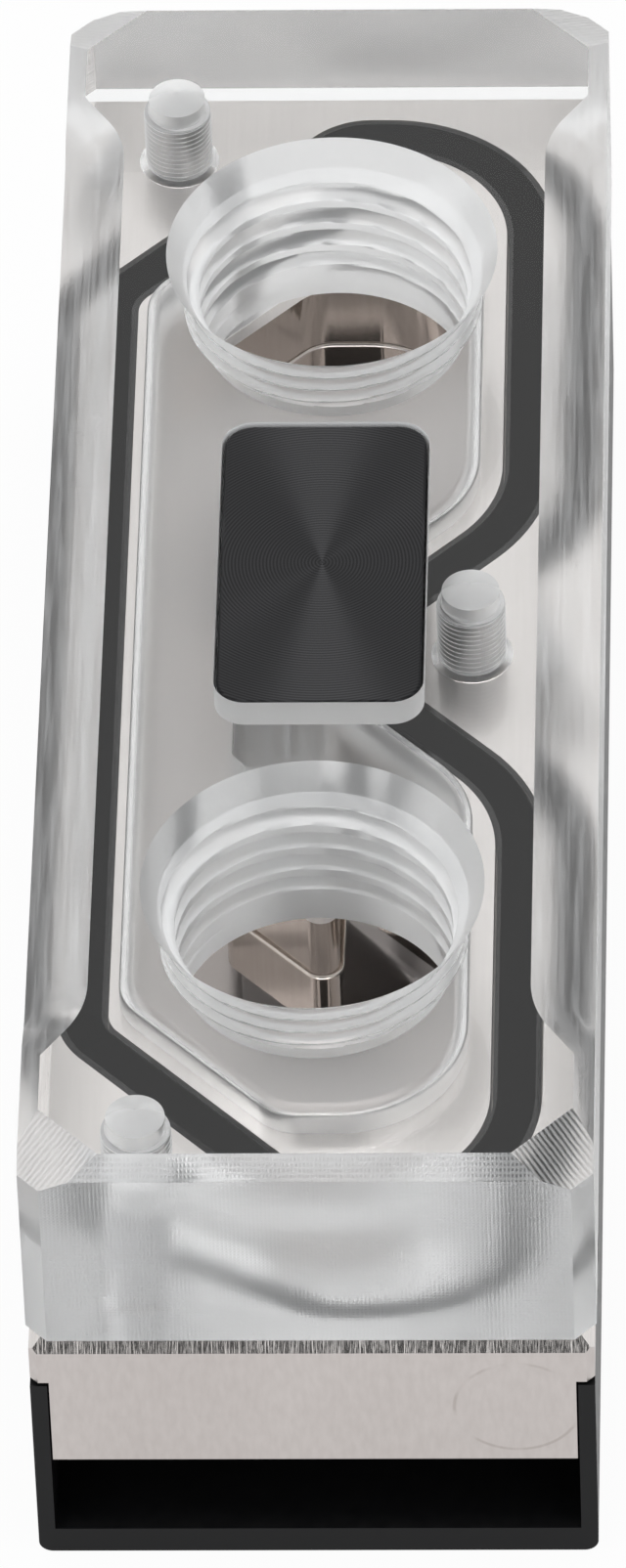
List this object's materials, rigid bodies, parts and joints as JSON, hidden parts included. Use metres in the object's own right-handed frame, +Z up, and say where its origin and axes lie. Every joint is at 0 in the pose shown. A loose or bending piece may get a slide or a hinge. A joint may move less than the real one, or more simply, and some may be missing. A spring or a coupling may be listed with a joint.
{
  "type": "liquid cooling cold plate for an M.2 solid-state drive",
  "caption": "Water block for an M.2 drive: clear acrylic terminal with threaded ports on a nickel-plated cold plate, over a black tray that leaves an open slot for the card.",
  "frame": {"origin": "middle of the tray's underside, the lowest face", "axes": "+X across the block, +Y along the drive's length, +Z up out of the ports"},
  "size_m": [0.024, 0.0716, 0.0238],
  "materials": {
    "lower_tray": "satin black anodised",
    "cold_plate": "satin nickel plating",
    "seal_ring": "matt",
    "clear_terminal": "polished top, finely milled sides",
    "inlay_plate": "black, circular brushed",
    "terminal_screws": "plain",
    "tray_screws": "black"
  },
  "bodies": {
    "root": {"lower_tray": "lower_tray", "cold_plate": "cold_plate", "seal_ring": "seal_ring", "clear_terminal": "clear_terminal", "inlay_plate": "inlay_plate", "terminal_screws": "terminal_screws", "tray_screws": "tray_screws"}
  },
  "joints": []
}
